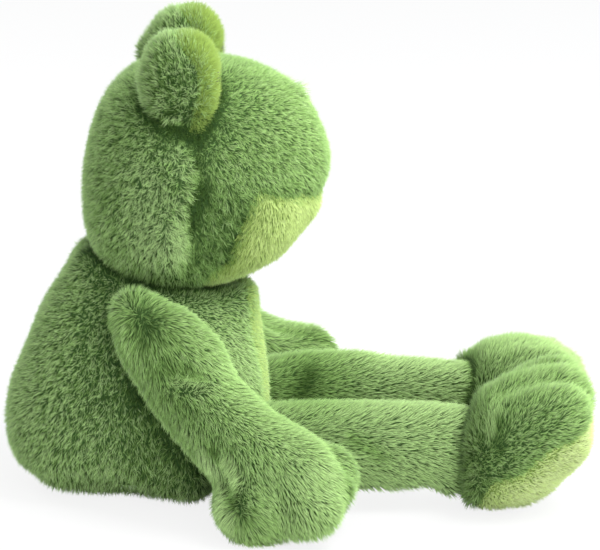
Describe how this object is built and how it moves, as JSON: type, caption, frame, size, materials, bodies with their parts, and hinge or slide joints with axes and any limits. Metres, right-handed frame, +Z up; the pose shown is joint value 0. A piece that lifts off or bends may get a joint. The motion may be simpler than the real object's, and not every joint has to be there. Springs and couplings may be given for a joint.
{
  "type": "plush frog",
  "caption": "Seated stuffed frog with a round head, two upright eye mounds, swinging arms and legs, round toed feet, and light chin, belly and soles.",
  "frame": {"origin": "on the floor under the middle of the box that holds the whole seated frog", "axes": "+Z up; the frog faces -Y, its right side is at -X"},
  "size_m": [0.3096, 0.3664, 0.2935],
  "materials": {
    "green_fur": "short green pile, soft and matte",
    "lime_fur": "short yellow-green pile, soft and matte",
    "stuffing_fibre": "loose white polyester fibre",
    "pellet_cloth": "plain woven cotton bag",
    "black_plastic": "polished black",
    "washer_plastic": "moulded, natural white"
  },
  "bodies": {
    "torso": {"body_back_left": "green_fur", "body_back_right": "green_fur", "belly_panel": "lime_fur", "body_stuffing": "stuffing_fibre", "seat_pellet_bag": "pellet_cloth"},
    "head": {"head_back_left": "green_fur", "head_back_right": "green_fur", "face_panel": "green_fur", "chin_panel": "lime_fur", "head_stuffing": "stuffing_fibre", "eye_mound_back_right": "green_fur", "eye_mound_front_right": "lime_fur", "eye_mound_stuffing_right": "stuffing_fibre", "eye_right": "black_plastic", "eye_washer_right": "washer_plastic", "eye_mound_back_left": "green_fur", "eye_mound_front_left": "lime_fur", "eye_mound_stuffing_left": "stuffing_fibre", "eye_left": "black_plastic", "eye_washer_left": "washer_plastic"},
    "arm_right": {"arm_outer_right": "green_fur", "arm_inner_right": "green_fur", "arm_stuffing_right": "stuffing_fibre"},
    "leg_right": {"leg_sleeve_right": "green_fur", "leg_stuffing_right": "stuffing_fibre"},
    "foot_right": {"foot_top_right": "green_fur", "foot_sole_right": "lime_fur", "foot_stuffing_right": "stuffing_fibre"},
    "arm_left": {"arm_outer_left": "green_fur", "arm_inner_left": "green_fur", "arm_stuffing_left": "stuffing_fibre"},
    "leg_left": {"leg_sleeve_left": "green_fur", "leg_stuffing_left": "stuffing_fibre"},
    "foot_left": {"foot_top_left": "green_fur", "foot_sole_left": "lime_fur", "foot_stuffing_left": "stuffing_fibre"}
  },
  "joints": [
    {"name": "neck_nod", "type": "hinge", "parent": "torso", "child": "head", "pos_m": [0, 0.084, 0.16], "axis": [-1, 0, 0], "range_deg": [-10, 15], "stiffness_Nm_per_rad": 3, "springref_deg": 2.86},
    {"name": "shoulder_right", "type": "hinge", "parent": "torso", "child": "arm_right", "pos_m": [-0.068, 0.098, 0.122], "axis": [-1, 0, 0], "range_deg": [-15, 95]},
    {"name": "hip_right", "type": "hinge", "parent": "torso", "child": "leg_right", "pos_m": [-0.054, 0.044, 0.035], "axis": [-1, 0, 0], "range_deg": [-55, 25]},
    {"name": "ankle_right", "type": "hinge", "parent": "leg_right", "child": "foot_right", "pos_m": [-0.054, -0.098, 0.038], "axis": [-1, 0, 0], "range_deg": [-15, 15], "stiffness_Nm_per_rad": 1.5},
    {"name": "shoulder_left", "type": "hinge", "parent": "torso", "child": "arm_left", "pos_m": [0.068, 0.098, 0.122], "axis": [-1, 0, 0], "range_deg": [-15, 95]},
    {"name": "hip_left", "type": "hinge", "parent": "torso", "child": "leg_left", "pos_m": [0.054, 0.044, 0.035], "axis": [-1, 0, 0], "range_deg": [-55, 25]},
    {"name": "ankle_left", "type": "hinge", "parent": "leg_left", "child": "foot_left", "pos_m": [0.054, -0.098, 0.038], "axis": [-1, 0, 0], "range_deg": [-5, 25], "stiffness_Nm_per_rad": 1.5}
  ]
}
